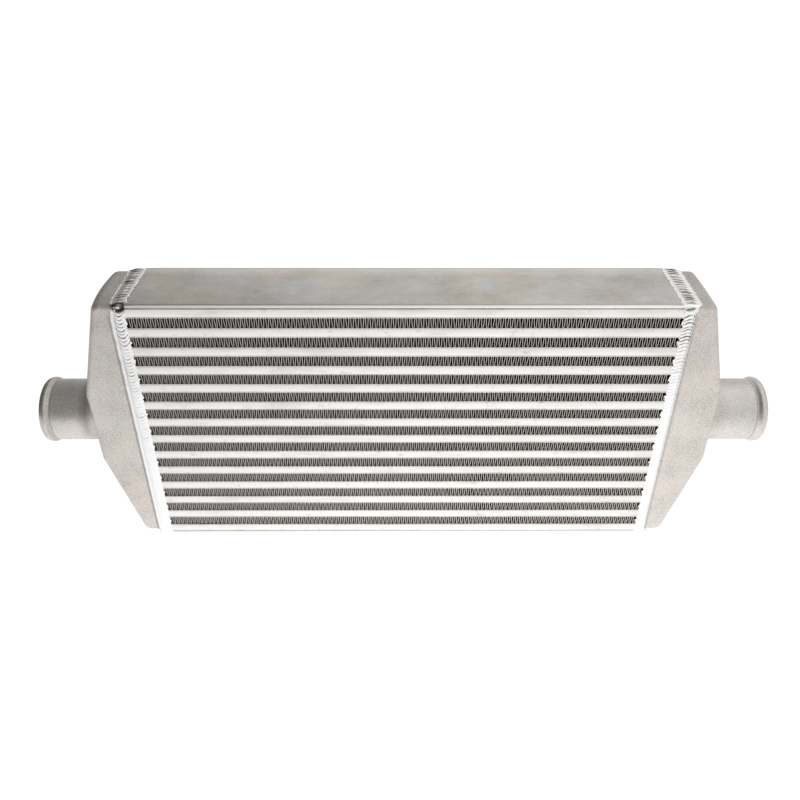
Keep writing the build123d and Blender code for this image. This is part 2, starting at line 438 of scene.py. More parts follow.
BEAD_START = cad_high.x - BEAD_WIDTH
# Side of the object, how far from the core's end the painted shade line beside the weld lies, and its
# strength.
WELD_SHADE_LINES = ((-1, 7.9 * MM, 0.42), (1, 4.9 * MM, 0.2))
WELD_SHADE_TOP_FROM, WELD_SHADE_TOP = 286 * MM, 292 * MM
TOP_DARKENING = 0.1


def stripe(tree, place, centre, full, gone, strength):
    """Line across a coordinate: the strength up to the first distance from its centre,
    then falling evenly to nothing at the second."""
    beside = add(tree, "Math", place, centre, operation="SUBTRACT")
    apart = add(tree, "Math", beside, operation="ABSOLUTE")
    return add(tree, "MapRange", apart, full, gone, strength, 0)


def cast_material():
    """Sand-cast aluminium after blasting: matte, with a salt-and-pepper grain, drawn
    1.7 mm coarse so that it shows, faint warm patches of a few centimetres, small pits
    and a colour a little darker toward the top. A thin grey line of painted shade lies
    beside each bead. The necks have been skimmed on a lathe, so past the tank wall the
    grain fades and the gloss rises. Painted shadow of the tank darkens the upper neck
    just past its wall, most on the left, and painted shade lines lie in the groove behind
    the hose bead and, on the left, on the slope that leads up to it."""
    material, tree = new_material("blasted_cast_aluminium")
    grain = mottle(tree, 1.7, 4.0, 0.85)
    patches = mottle(tree, 33.33, 4.0)
    pits = mottle(tree, 2.632, 1.0)
    here = add(tree, "TexCoord", out="Object")
    along = add(tree, "SeparateXYZ", here, out="X")
    height = add(tree, "SeparateXYZ", here, out="Z")
    outward = add(tree, "Math", along, operation="ABSOLUTE")
    skimmed = add(tree, "MapRange", outward, TANK_FACE + 3 * MM, TANK_FACE + 9 * MM, 0, 1)
    salt = add(tree, "MapRange", grain, 0.3, 0.7, 0, 0.75)
    tone = add(tree, "Math", salt, add(tree, "MapRange", patches, 0.3, 0.7, 0, 0.25), operation="ADD")
    warm = add(tree, "ValToRGB", tone, stops=[(0.0, "#b3aaa4"), (0.5, "#eae2dc"), (1.0, "#fdf8f3")])
    grey = add(tree, "ValToRGB", tone, stops=[(0.0, "#b0aba5"), (0.5, "#e6e2dc"), (1.0, "#faf7f3")])
    tint = add(tree, "MapRange", mottle(tree, 22.22), 0.4, 0.6, 0, 1)
    colour = add(tree, "Mix", tint, sockets={6: warm, 7: grey}, out=2, data_type="RGBA")

    # Painted shadow of the tank on the upper neck, a few millimetres past its wall, strongest on the left.
    darkening = add(tree, "MapRange", outward, TANK_FACE + 2 * MM, TANK_FACE + 18 * MM, 1, 0)
    shade_stronger_left = add(tree, "MapRange", along, -100 * MM, 100 * MM, 0.8, 0.1)
    less_shade_below = add(tree, "MapRange", height, 130 * MM, 150 * MM, 0.3, 1)
    for factor in (shade_stronger_left, less_shade_below, skimmed):
        darkening = add(tree, "Math", darkening, factor, operation="MULTIPLY")
    # Painted shade lines in the groove behind the bead and, on the left, on the bead's rising slope.
    layers = [stripe(tree, outward, BEAD_START - 0.4 * MM, 0.3 * MM, 1.0 * MM, 0.4)]
    on_slope = stripe(tree, outward, BEAD_START + 2.0 * MM, 1.6 * MM, 2.6 * MM, 0.25)
    on_left = add(tree, "MapRange", along, -100 * MM, 100 * MM, 1, 0)
    layers.append(add(tree, "Math", on_slope, on_left, operation="MULTIPLY"))
    # Drawn a little darker toward the top.
    layers.append(add(tree, "MapRange", height, 190 * MM, 280 * MM, 0, TOP_DARKENING))
    # Painted shade lines beside the welds, stopping short of the top.
    below_top = add(tree, "MapRange", height, WELD_SHADE_TOP_FROM, WELD_SHADE_TOP, 1, 0)
    for shade_side, from_core, strength in WELD_SHADE_LINES:
        line = stripe(tree, along, shade_side * (CORE_END + from_core), 0.5 * MM, 1.5 * MM, strength)
        layers.append(add(tree, "Math", line, below_top, operation="MULTIPLY"))
    for layer in layers:
        darkening = add(tree, "Math", darkening, layer, operation="MAXIMUM")
    colour = add(tree, "Mix", darkening, sockets={6: colour, 7: linear("#6f605a")}, out=2, data_type="RGBA")

    rough = add(tree, "MapRange", skimmed, 0, 1, 0.58, 0.43)
    grain_left = add(tree, "MapRange", skimmed, 0, 1, 1.0, 0.25)
    pit_depth = add(tree, "MapRange", pits, 0.28, 0.4, 0, 1)
    normal = add(tree, "Bump", sockets={"Height": patches, "Distance": 0.08 * MM})
    normal = add(tree, "Bump", grain_left, sockets={"Height": grain, "Distance": 0.2 * MM, "Normal": normal})
    normal = add(tree, "Bump", sockets={"Height": pit_depth, "Distance": 0.08 * MM, "Normal": normal})
    surface = add(tree, "BsdfPrincipled", colour, 1.0, rough, sockets={"Normal": normal})
    add(tree, "OutputMaterial", surface)
    return material


def straight(start, end, spacing, with_end=False):
    """Even points from one place toward another, and their normal to the right."""
    length = np.linalg.norm(end - start)
    run = (end - start) / length
    steps = max(2, round(length / spacing))
    share = np.linspace(0, 1, steps, endpoint=with_end)[:, None]
    return start + (end - start) * share, np.tile([run[1], -run[0]], (steps, 1))


def rounded_path(points, radii, spacing):
    """Points and outward normals along an open path whose inner corners are arcs.
    Each arc touches both runs at its radius times the tangent of half the turn, and
    runs are divided evenly at about the given spacing."""
    points = np.array(points, float)
    pieces = []
    start = points[0]
    for corner, after, radius in zip(points[1:-1], points[2:], radii):
        run = (corner - start) / np.linalg.norm(corner - start)
        leave = (after - corner) / np.linalg.norm(after - corner)
        turn = math.acos(np.clip(run @ leave, -1, 1))
        reach = radius * math.tan(turn / 2)
        arc_start = corner - run * reach
        pieces.append(straight(start, arc_start, spacing))
        steps = max(3, round(radius * turn / spacing) + 2)
        angle = np.linspace(0, turn, steps, endpoint=False)
        right = np.array([run[1], -run[0]])
        normal = np.outer(np.cos(angle), right) + np.outer(np.sin(angle), run)
        pieces.append((arc_start - right * radius + normal * radius, normal))
        start = corner + leave * reach
    pieces.append(straight(start, points[-1], spacing, with_end=True))
    path, normals = zip(*pieces)
    return np.concatenate(path), np.concatenate(normals)


def shell_grid(path, normals, front, back, front_radius, back_radius, bow):
    """Skin of the tank as a grid: across it runs from the open rim over the front face,
    a quarter round, the outer wall, a quarter round and the back face. The rounds move
    the path inward along its normal by 1 - cos and outward in Y by sin. The wall also
    bows outward as a parabola over Y, up to the given amount past the shoulder."""
    quarter = np.linspace(0, math.pi / 2, 9)
    wall_y = np.linspace(front + front_radius, back - back_radius, 31)[1:-1]
    inward = np.concatenate([front_radius * (1 - np.cos(quarter[::-1])), np.zeros(len(wall_y)),
                             back_radius * (1 - np.cos(quarter))])
    y = np.concatenate([front + front_radius * (1 - np.sin(quarter[::-1])), wall_y,
                        back - back_radius * (1 - np.sin(quarter))])
    wall = path[:, None, :] - normals[:, None, :] * inward[None, :, None]
    share = (2 * y - front - back) / (back - front)
    reach = np.clip((wall[..., 0] - CORE_END) / TANK_SHOULDER_DEPTH, 0, 1)
    x = wall[..., 0] + bow * (1 - share**2) * reach
    grid = np.stack([x, np.broadcast_to(y, x.shape), wall[..., 1]], -1)
    rim_front, rim_back = grid[:, :1].copy(), grid[:, -1:].copy()
    rim_front[..., 0] = CORE_END
    rim_back[..., 0] = CORE_END
    return np.concatenate([rim_front, grid, rim_back], 1)


def grid_loop(rows, columns, first, last, left, right):
    """Indices round the rectangle of grid cells from row first to last and column left
    to right, in one direction."""
    up = [(i, left) for i in range(first, last)]
    over = [(last, j) for j in range(left, right)]
    down = [(i, right) for i in range(last, first, -1)]
    back = [(first, j) for j in range(right, left, -1)]
    return np.array([i * columns + j for i, j in up + over + down + back])


def shares(count):
    """Even shares of 1, from the first step past 0 up to 1 itself."""
    return np.linspace(0, 1, count + 1)[1:]


def tank(name, side, bow):
    """Closed mesh of the casting. Outer and inner skins are two grids with the same
    layout, joined along their rims. A rectangle of cells round the neck is left out of
    both, and one tube of rings joins the two edges: out over the root fillet, along
    the neck and bead, round the lip, and back down the bore."""
    low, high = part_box(name)
    middle = (low.z + high.z) / 2
    lip_end = high.x if side > 0 else -low.x
    half = cad_high.z / 2 - TANK_TOP_INSET
    flat = TANK_FLAT_HEIGHT / 2
    corner_x = CORE_END + TANK_SHOULDER_DEPTH
    outline = [(CORE_END, middle - half), (corner_x, middle - half), (TANK_FACE, middle - flat),
               (TANK_FACE, middle + flat), (corner_x, middle + half), (CORE_END, middle + half)]
    radii = [TANK_CORNER_RADIUS, TANK_SHOULDER_RADIUS, TANK_SHOULDER_RADIUS, TANK_CORNER_RADIUS]
    path, normals = rounded_path(outline, radii, TANK_GRID)
    front, back = TANK_INSET - CORE_HALF_DEPTH, CORE_HALF_DEPTH - TANK_BACK_INSET
    outer = shell_grid(path, normals, front, back, TANK_FRONT_RADIUS, TANK_BACK_RADIUS, bow)
    inner_path = path - normals * TANK_WALL
    inner_path[[0, -1], 0] = CORE_END
    inner = shell_grid(inner_path, normals, front + TANK_WALL, back - TANK_WALL,
                       INNER_EDGE_RADIUS, INNER_EDGE_RADIUS, bow)
    rows, columns = outer.shape[:2]

    reach = NECK_RADIUS + ROOT_RADIUS + ROOT_MARGIN
    inside = np.nonzero(np.abs(path[:, 1] - middle) < reach)[0]
    first, last = inside[0] - 1, inside[-1] + 1
    left = np.nonzero(outer[first, :, 1] > front + HOLE_INTO_ROUND * TANK_FRONT_RADIUS)[0][0]
    right = np.nonzero(outer[first, :, 1] < back - HOLE_INTO_ROUND * TANK_BACK_RADIUS)[0][-1]
    loop = grid_loop(rows, columns, first, last, left, right)
    cell_row, cell_column = np.meshgrid(np.arange(rows - 1), np.arange(columns - 1), indexing="ij")
    corner = cell_row * columns + cell_column
    quads = np.stack([corner, corner + columns, corner + columns + 1, corner + 1], -1).reshape(-1, 4)
    hole = (cell_row >= first) & (cell_row < last) & (cell_column >= left) & (cell_column < right)
    quads = quads[~hole.ravel()]
    rim = grid_loop(rows, columns, 0, rows - 1, 0, columns - 1)
    rim_next = np.roll(rim, -1)
    size = rows * columns
    rim_quads = np.stack([rim, rim_next, rim_next + size, rim + size], 1)

    def wall_x(y):
        """The bowed outer wall, which falls away over each quarter round as a circle."""
        share = (2 * y - front - back) / (back - front)
        past_front = np.clip(front + TANK_FRONT_RADIUS - y, 0, TANK_FRONT_RADIUS)
        past_back = np.clip(y - back + TANK_BACK_RADIUS, 0, TANK_BACK_RADIUS)
        drop_front = TANK_FRONT_RADIUS - np.sqrt(TANK_FRONT_RADIUS**2 - past_front**2)
        drop_back = TANK_BACK_RADIUS - np.sqrt(TANK_BACK_RADIUS**2 - past_back**2)
        return TANK_FACE + bow * (1 - share**2) - drop_front - drop_back

    edge = outer.reshape(-1, 3)[loop]
    y, z = edge[:, 1], edge[:, 2] - middle
    angle = np.arctan2(z, y)
    edge_radius = np.hypot(y, z)
    nearest = min(-outer[first, left, 1], outer[first, right, 1]) - ROOT_CLEARANCE
    root = np.minimum(NECK_RADIUS + ROOT_RADIUS, nearest / np.maximum(np.abs(np.cos(angle)), 1e-6))
    rings = []
    for share in shares(6):
        radius = edge_radius + (root - edge_radius) * share
        rings.append((wall_x(radius * np.cos(angle)), radius))
    for turn in shares(8) * math.pi / 2:
        radius = NECK_RADIUS + (root - NECK_RADIUS) * (1 - math.sin(turn))
        rings.append((wall_x(radius * np.cos(angle)) + ROOT_RADIUS * (1 - math.cos(turn)), radius))
    neck_start = rings[-1][0]
    bead_start = lip_end - BEAD_WIDTH
    for share in shares(11):
        rings.append((neck_start + (bead_start - neck_start) * share, NECK_RADIUS))
    crest_x = lip_end - BEAD_CREST_FROM_LIP
    for share in shares(9):
        swell = (BEAD_RADIUS - NECK_RADIUS) * (0.5 - 0.5 * math.cos(math.pi * share))
        rings.append((bead_start + (crest_x - bead_start) * share, NECK_RADIUS + swell))
    for share in shares(6):
        x = crest_x + (BEAD_CREST_FROM_LIP - LIP_RADIUS) * share
        rings.append((x, BEAD_RADIUS - LIP_DROP * share**2))
    for turn in shares(5) * math.pi / 2:
        rings.append((lip_end - LIP_RADIUS * (1 - math.sin(turn)),
                      BEAD_RADIUS - LIP_DROP - LIP_RADIUS * (1 - math.cos(turn))))
    bore = NECK_RADIUS - NECK_WALL
    bore_start = lip_end - BORE_CHAMFER
    inner_wall = TANK_FACE - TANK_WALL
    rings.append((lip_end, bore + BORE_CHAMFER))
    for share in (0, *shares(9)):
        rings.append((bore_start + (inner_wall - bore_start) * share, bore))
    inner_edge = inner.reshape(-1, 3)[loop]
    ring_points = []
    for x, radius in rings:
        x = np.broadcast_to(x, angle.shape)
        ring_points.append(np.column_stack([x, radius * np.cos(angle), middle + radius * np.sin(angle)]))
    bore_end = ring_points[-1]
    for share in shares(3)[:-1]:
        ring_points.append(bore_end + (inner_edge - bore_end) * share)
    around = len(loop)
    tube = tube_faces(len(ring_points), around, 2 * size)
    step = np.arange(around)
    after = (step + 1) % around
    first_ring = np.stack([loop[step], loop[after], 2 * size + after, 2 * size + step], 1)
    last_start = 2 * size + (len(ring_points) - 1) * around
    last_ring = np.stack([last_start + step, last_start + after, size + loop[after], size + loop[step]], 1)
    vertices = np.concatenate([outer.reshape(-1, 3), inner.reshape(-1, 3), *ring_points])
    faces = np.concatenate([quads[:, ::-1], quads + size, rim_quads, first_ring, tube, last_ring])
    if side < 0:
        vertices = vertices * [-1, 1, 1]
        faces = faces[:, ::-1]
    return vertices, faces.tolist()


cast_aluminium = cast_material()
for label, side in (("left", -1), ("right", 1)):
    name = label + "_end_tank"
    piece = new_piece("tank_" + label, *tank(name, side, TANK_BOW[label]), cast_aluminium, "cast_tank", 50)
    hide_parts(name)

# ---------------------------------------------------------------- weld beads
# One hand-laid TIG bead runs all round each tank joint. Round pools about 4 mm apart
# overlap into crescents, bright on their backs and greyed by painted shade in the
# grooves, with a smooth washed flank on the casting. The left one ends in a crater at
# its front top corner.

WELD_LAP_CORE = 8.6 * MM
WELD_LAP_PLATE = 12.0 * MM
WELD_CORNER_BLEND = 6.0 * MM
WELD_CROWN = 1.1 * MM
WELD_CORNER = 2.5 * MM
WELD_STEP = 0.5 * MM
WELD_ROWS = 37
WELD_SEED = 11
WELD_TOE_SINK = 0.3 * MM
WELD_ROOT = 0.8 * MM
ROOT_PAST_END = 5.0 * MM
ROOT_BEFORE_END = 6.0 * MM
POOL_BAND = 12.4 * MM
POOL_BULGE = 4.6 * MM
POOL_PITCH_FRONT = 4.1 * MM
POOL_PITCH_TOP = 5.4 * MM
POOL_SCALLOP = 0.9 * MM
POOL_WOBBLE = 0.35 * MM
WOBBLE_CYCLES = (29, 41, 67, 113)
POOL_PITCH_WANDER = 0.1
RIPPLE_HEIGHT = 0.45 * MM
RIPPLE_RISE = 0.55
RIPPLE_MEAN = 0.6
RIPPLE_LEAST = 0.3
RIPPLE_ON_TOP = 1.4
GROOVE_LEAST = 0.5
GROOVE_REACH = 0.4
GROOVE_DEEP_REACH = 0.42
GROOVE_TOP_REACH = 0.25
DROP_BEFORE_END = 3.0 * MM
FLANK_SWELL = 0.3 * MM
BORDER_HEIGHT = 0.4 * MM
PLATE_BORDER_START, PLATE_BORDER_SOFT = 0.8, 0.08
FROST_LEAST = 0.3
TOP_CLEARANCE = 0.04 * MM
TANK_RIDGE = 0.6 * MM
NOSE_TOOTH = 1.5 * MM
NOSE_HALF_HEIGHT = 2.4 * MM
WASHED_LOW = 0.12
TOP_GREY = 0.1
EDGE_PALE_FROM, EDGE_PALE_SOFT = 0.88, 0.1
BORDER_PALE = 0.8
EDGE_WANDER = 0.45 * MM
CORE_EDGE_CYCLES = (37, 59, 97, 171)
TANK_EDGE_CYCLES = (43, 71, 89, 151)
SWERVE_LENGTH = 10 * MM
TOE_LINE = 0.9 * MM
TOE_SHADE = 0.75
FLANK_DARK = 0.18
MARK_HOLLOW = 0.5 * MM
MARK_SWELL = 0.3 * MM
MARK_TONE = 0.8
SWIRL_SHADE, SWIRL_TURN, SWIRL_REACH = 0.25, 6, 0.8


def weld_material():
    """TIG bead in clean aluminium: bright rounded pools and grooves greyed by painted
    shade, with a little oxide, read from the ripple attribute of the mesh, which also holds
    the painted shade along the toe and round the crater or stop mark. The frost attribute
    marks where the arc has etched it to a matte white film, which shades like paint."""
    material, tree = new_material("tig_weld")
    ripple = add(tree, "Attribute", out="Fac", attribute_name="ripple")
    frost = add(tree, "Attribute", out="Fac", attribute_name="frost")
    oxide = add(tree, "MapRange", mottle(tree, 8.333), 0.3, 0.7, -0.12, 0.12)
    tone = add(tree, "Math", ripple, oxide, operation="ADD")
    metal = add(tree, "ValToRGB", tone, stops=[(0.0, "#34312f"), (0.3, "#7f7b77"), (0.6, "#d0cdcb"),
                                               (0.82, "#fafafc"), (0.95, "#ffffff")])
    film = add(tree, "ValToRGB", tone, stops=[(0.0, "#4c4843"), (0.5, "#b5afa6"), (0.9, "#fffdf8")])
    colour = add(tree, "Mix", frost, sockets={6: metal, 7: film}, out=2, data_type="RGBA")
    metallic = add(tree, "MapRange", frost, 0, 1, 1.0, 0.0)
    rough = add(tree, "MapRange", ripple, 0, 1, 0.5, 0.3)
    normal = add(tree, "Bump", sockets={"Height": mottle(tree, 1.429, 2.0), "Distance": 0.03 * MM})
    surface = add(tree, "BsdfPrincipled", colour, metallic, rough, sockets={"Normal": normal})
    add(tree, "OutputMaterial", surface)
    return material


def rounded_loop(half_y, half_z, radius, step):
    """Points and outward normals at even steps round a rounded rectangle in Y and Z,
    starting at the middle of its front side and going up."""
    turn = np.linspace(0, math.pi / 2, 24)
    corners, normals = [], []
    for sy, sz, start in ((-1, 1, math.pi), (1, 1, math.pi / 2), (1, -1, 0), (-1, -1, -math.pi / 2)):
        angle = start - turn
        corners.append(np.stack([sy * (half_y - radius) + radius * np.cos(angle),
                                 sz * (half_z - radius) + radius * np.sin(angle)], 1))
        normals.append(np.stack([np.cos(angle), np.sin(angle)], 1))
    first = np.array([[-half_y, 0.0]])
    front = np.array([[-1.0, 0.0]])
    points = np.concatenate([first, *corners, first])
    normals = np.concatenate([front, *normals, front])
    length = np.concatenate([[0], np.cumsum(np.linalg.norm(np.diff(points, axis=0), axis=1))])
    even = np.linspace(0, length[-1], round(length[-1] / step), endpoint=False)
    place = np.stack([np.interp(even, length, points[:, i]) for i in (0, 1)], 1)
    normal = np.stack([np.interp(even, length, normals[:, i]) for i in (0, 1)], 1)
    return even, length[-1], place, normal / np.linalg.norm(normal, axis=1)[:, None]


def pool_centres(total, random):
    """Pool centres round the loop: steps of the front or top pitch, each longer or
    shorter at random, stretched so that the last pool meets the first."""
    half_side = cad_high.z / 2
    centres = [0.0]
    while centres[-1] < total:
        to_front = min(centres[-1], total - centres[-1])
        across_top = half_side < to_front < half_side + 2 * CORE_HALF_DEPTH
        pitch = POOL_PITCH_TOP if across_top else POOL_PITCH_FRONT
        centres.append(centres[-1] + pitch * (1 + POOL_PITCH_WANDER * random.normal()))
    return np.array(centres) * total / centres[-1]


def wander(along, total, cycles, random):
    """Sum of sines that fit round the loop, each with a random phase, about 1 high."""
    phase = random.uniform(0, 2 * math.pi, len(cycles))
    waves = np.sin(2 * math.pi * np.outer(along / total, cycles) + phase)
    return waves.sum(1)[:, None] / len(cycles) ** 0.5


def marked(mark, along, u, tone, height, frost):
    """The bead with one crater or stop mark on it. At a share of its half length and
    half width, as a Gaussian, lies a sunken ring darkened by painted shade round a smooth
    swollen middle, faintly swirled in painted shade, and there the bead swerves toward the core."""
    across = u - mark["across"]
    dx, dy = (along - mark["along"]) / mark["half_length"], across / mark["half_width"]
    apart = np.hypot(dx, dy)
    rim = np.exp(-((apart - mark["ring_at"]) / mark["ring_width"]) ** 2)
    swirl = SWIRL_SHADE * np.sin(2 * np.arctan2(dy, dx) + SWIRL_TURN * apart)
    swirl = swirl * np.exp(-(apart / SWIRL_REACH) ** 2)
    inside = np.clip(1 + 2 * mark["ring_width"] - apart, 0, 1)
    tone = tone * (1 - inside) + (MARK_TONE + (1 - MARK_TONE) * mark["white"]) * inside
    tone = tone * (1 - mark["dark"] * rim) + swirl * mark["dark"]
    height = height * (1 - inside * 0.5) - MARK_HOLLOW * mark["dark"] * rim + MARK_SWELL * inside
    frost = frost * (1 - inside) + mark["white"] * inside * (1 - mark["dark"] * rim)
    u = u - mark["swerve"] * np.exp(-((along - mark["along"]) / SWERVE_LENGTH) ** 2)
    return u, tone, height, frost


def weld(side, lap_front, lap_top, narrower_front, fade, tank_border, mark):
    """Closed ring. A point belongs to the newest pool whose round rear edge has passed
    it, so the pool number is read at the place moved on by an arch over the bead's
    width, plus a slow wobble. Height within a pool rises fast from its groove and falls
    slowly, and each pool has its own depth of groove. On the front and back the bead
    stands proud as a parabola, with a tooth over the nose of each end bar, and its
    ripple dies away downward as the height to the power of the fade. On the top and
    bottom it is wider and fills the planed plate edge between two raised borders, and
    is narrower at the front by the given amount. The border on the tank starts at a
    share of the half width, and has its own softness and grey."""
    random = np.random.default_rng(WELD_SEED + side)
    half_z = cad_high.z / 2
    along, total, place, normal = rounded_loop(CORE_HALF_DEPTH, half_z, WELD_CORNER, WELD_STEP)
    centres = pool_centres(total, random)
    numbers = np.arange(len(centres))
    grooves = GROOVE_LEAST + (1 - GROOVE_LEAST) * random.random(len(centres) + 1) ** 1.2
    run = along if side < 0 else total - along

    def pool(distance):
        """Pool number of a place, its fraction going from 0 at the groove to 1."""
        return np.interp(distance % total, centres, numbers)

    # Where each point of the loop lies, and where the bead's two edges are there.
    upright = np.abs(normal[:, 1])[:, None] ** 2
    edge_pool = pool(run)[:, None] % 1
    scallop = POOL_SCALLOP * (np.sin(math.pi * edge_pool) - 0.5)
    tooth = np.zeros((len(along), 1))
    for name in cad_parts:
        if name.startswith("ambient_fin_"):
            low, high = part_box(name)
            from_row = np.abs(half_z + place[:, 1:] - (low.z + high.z) / 2)
            tooth += NOSE_TOOTH * np.clip(1 - from_row / NOSE_HALF_HEIGHT, 0, 1) * (1 - upright)
    wobble = POOL_WOBBLE * wander(along, total, WOBBLE_CYCLES, random)
    on_top = np.clip((np.abs(place[:, 1:]) - half_z + WELD_CORNER_BLEND) / WELD_CORNER_BLEND, 0, 1)
    ragged_core = EDGE_WANDER * on_top * wander(along, total, CORE_EDGE_CYCLES, random)
    ragged_tank = EDGE_WANDER * on_top * wander(along, total, TANK_EDGE_CYCLES, random)
    narrower = narrower_front * (0.5 - place[:, :1] / (2 * CORE_HALF_DEPTH))
    core_edge = WELD_LAP_CORE + (WELD_LAP_PLATE - WELD_LAP_CORE - narrower) * on_top
    core_edge = core_edge + scallop + ragged_core
    lap_core = core_edge + tooth
    lap_tank = lap_front + (lap_top - lap_front) * on_top
    lap_tank = lap_tank + (0.4 + 0.6 * upright) * scallop + ragged_tank
    spread = np.linspace(0, 1, WELD_ROWS)[None, :]
    u = -lap_core + spread * (lap_core + lap_tank)

    # The pool each point belongs to, and how far into it the point lies.
    width = POOL_BAND + (core_edge + lap_tank - POOL_BAND) * on_top
    band = np.clip((u + core_edge) / width * 2 - 1, -1, 1)
    arch = (1 - band**2) * (1 - 0.5 * upright)
    number = pool(run[:, None] + POOL_BULGE * arch + wobble * (1 + 2 * upright) * np.sin(3 * band + 1))
    groove = grooves[np.floor(number).astype(int)]
    ripple = np.sin(math.pi * (number % 1) ** RIPPLE_RISE)

    # Height above the core, which drops to the smaller tank over an eased slope.
    flank = np.clip((u + core_edge - width) / (core_edge + lap_tank - width + 0.1 * MM), 0, 1)
    faces_back = np.clip(normal[:, 0], 0, 1)[:, None]
    faces_front = np.clip(-normal[:, 0], 0, 1)[:, None]
    inset = TANK_INSET * faces_front**2 + TANK_BACK_INSET * faces_back**2 + TANK_TOP_INSET * upright
    slope = np.clip((u + DROP_BEFORE_END) / (lap_tank + DROP_BEFORE_END), 0, 1)
    base = -inset * slope**2 * (3 - 2 * slope)
    toes = WELD_TOE_SINK * (1 - 0.7 * upright) * (2 * spread - 1) ** 8
    share_up = np.clip((half_z + place[:, 1:]) / (0.9 * cad_high.z), 0, 1)
    washed = WASHED_LOW + (1 - WASHED_LOW) * share_up ** fade
    lively = RIPPLE_LEAST + (1 - RIPPLE_LEAST) * washed * groove
    rippled = RIPPLE_HEIGHT * (ripple - RIPPLE_MEAN) * arch**0.35 * lively
    proud = WELD_CROWN * arch**0.8 + rippled + FLANK_SWELL * flank * (1 - flank) * 4
    border_start, border_soft, border_grey = tank_border
    outer_border = np.clip((band - border_start) / border_soft, 0, 1)
    border = np.clip((-band - PLATE_BORDER_START) / PLATE_BORDER_SOFT, 0, 1) + outer_border
    between_borders = BORDER_HEIGHT + RIPPLE_ON_TOP * RIPPLE_HEIGHT * (1 - ripple) * groove
    sunk = -between_borders * (1 - border) - TOP_CLEARANCE
    ridge = TANK_RIDGE * border * (band > 0) * slope * upright
    height = base + proud * (1 - upright) + sunk * upright + ridge - toes

    # Tone of the metal: painted shade in the grooves and along the toe, a greyer flank, and the white film.
    reach = GROOVE_REACH + GROOVE_DEEP_REACH * groove + GROOVE_TOP_REACH * upright
    dark = 1 - np.clip(ripple / reach, 0, 1) ** 2
    tone = 1 - dark * groove * (washed * (1 - upright) + upright)
    edge_fade = np.clip((np.abs(band) - EDGE_PALE_FROM) / EDGE_PALE_SOFT, 0, 1)
    edge_fade = np.maximum(edge_fade, BORDER_PALE * border * upright)
    tone = (tone + (1 - tone) * edge_fade) * (1 - border_grey * outer_border * upright)
    tone = tone * (1 - TOP_GREY * upright * (1 - border))
    # Painted shade: a dark line along the toe on the tank side, left off the top and bottom.
    toe_shade = np.exp(-((u - lap_tank) / TOE_LINE) ** 2) * (1 - on_top)
    flank_grey = FLANK_DARK * washed**0.5 * np.clip(4 * flank, 0, 1) * (1 - upright)
    tone = tone * (1 - TOE_SHADE * toe_shade) - flank_grey
    frost = upright * (FROST_LEAST + (1 - FROST_LEAST) * border)
    u, tone, height, frost = marked(mark, along[:, None], u, tone, height, frost)

    x = CORE_END + u
    y = place[:, :1] + normal[:, :1] * height
    z = half_z + place[:, 1:] + normal[:, 1:] * height
    outside = np.stack([x, np.clip(y, cad_low.y, cad_high.y), np.clip(z, cad_low.z, cad_high.z)], -1)
    under = []
    for x_under, depth in ((CORE_END + ROOT_PAST_END, inset[:, 0] + WELD_ROOT),
                           (CORE_END - ROOT_BEFORE_END, WELD_ROOT)):
        under.append(np.column_stack([np.full(len(along), x_under), place[:, 0] - normal[:, 0] * depth,
                                      half_z + place[:, 1] - normal[:, 1] * depth]))
    ring = np.concatenate([outside, under[0][:, None], under[1][:, None]], 1)
    rows, around = ring.shape[:2]
    vertices = ring.reshape(-1, 3)
    quads = tube_faces(rows + 1, around) % (rows * around)
    if side < 0:
        vertices = vertices * [-1, 1, 1]
        quads = quads[:, ::-1]
    tint = np.concatenate([np.clip(tone, 0, 1), np.ones((rows, 2))], 1)
    film = np.concatenate([frost + np.zeros_like(tone), np.zeros((rows, 2))], 1)
    return vertices, quads.tolist(), tint.ravel(), film.ravel()


# In each mark, dark sets the strength of the painted shade round it, as well as how deep its ring sinks.
CORNER_ALONG = cad_high.z / 2
CRATER = {"along": CORNER_ALONG - 1.8 * MM, "across": -1.8 * MM, "half_length": 6.2 * MM,
          "half_width": 9.0 * MM, "ring_at": 0.66, "ring_width": 0.36, "dark": 0.92,
          "swerve": 2.4 * MM, "white": 0}
STOP_MARK = {"along": CORNER_ALONG - 4.6 * MM, "across": -3.2 * MM, "half_length": 3.0 * MM,
             "half_width": 9.0 * MM, "ring_at": 0.0, "ring_width": 0.7, "dark": 0.85,
             "swerve": 1.4 * MM, "white": 1}
LEFT_WELD = {"lap_front": 7.4 * MM, "lap_top": 5.6 * MM, "narrower_front": 2.4 * MM,
             "fade": 2.6, "tank_border": (0.84, 0.08, 0.35), "mark": CRATER}
RIGHT_WELD = {"lap_front": 4.2 * MM, "lap_top": 7.2 * MM, "narrower_front": 0.6 * MM,
              "fade": 6.0, "tank_border": (0.3, 0.35, 0.08), "mark": STOP_MARK}
tig_weld = weld_material()
for label, side, settings in (("left", -1, LEFT_WELD), ("right", 1, RIGHT_WELD)):
    vertices, faces, tint, film = weld(side, **settings)
    piece = new_piece("weld_" + label, vertices, faces, tig_weld, "weld_bead", 60)
    for name, values in (("ripple", tint), ("frost", film)):
        piece.data.attributes.new(name, "FLOAT", "POINT").data.foreach_set("value", values)
    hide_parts(label + "_weld_bead")

# ---------------------------------------------------------------- floor and light
# A white sweep that the metal mirrors, brightest round the object, under a room that
# dims with height, so that upward faces come out greyer than the front.

FLOOR_SIZE = 12.0
FLOOR_MIRRORED_NEAR = 1.42
FLOOR_MIRRORED_FAR = 0.95
FLOOR_FADE_FROM = 0.05
FLOOR_FADE = 0.75
FLOOR_SEEN = 1.16
FLOOR_GLOW_SHARE = 0.85
LAMP_PLACE = (0.1, -1.5, 2.2)
LAMP_TARGET = (0, 0, 0.15)
LAMP_SIZE = 1.2
LAMP_POWER = 30


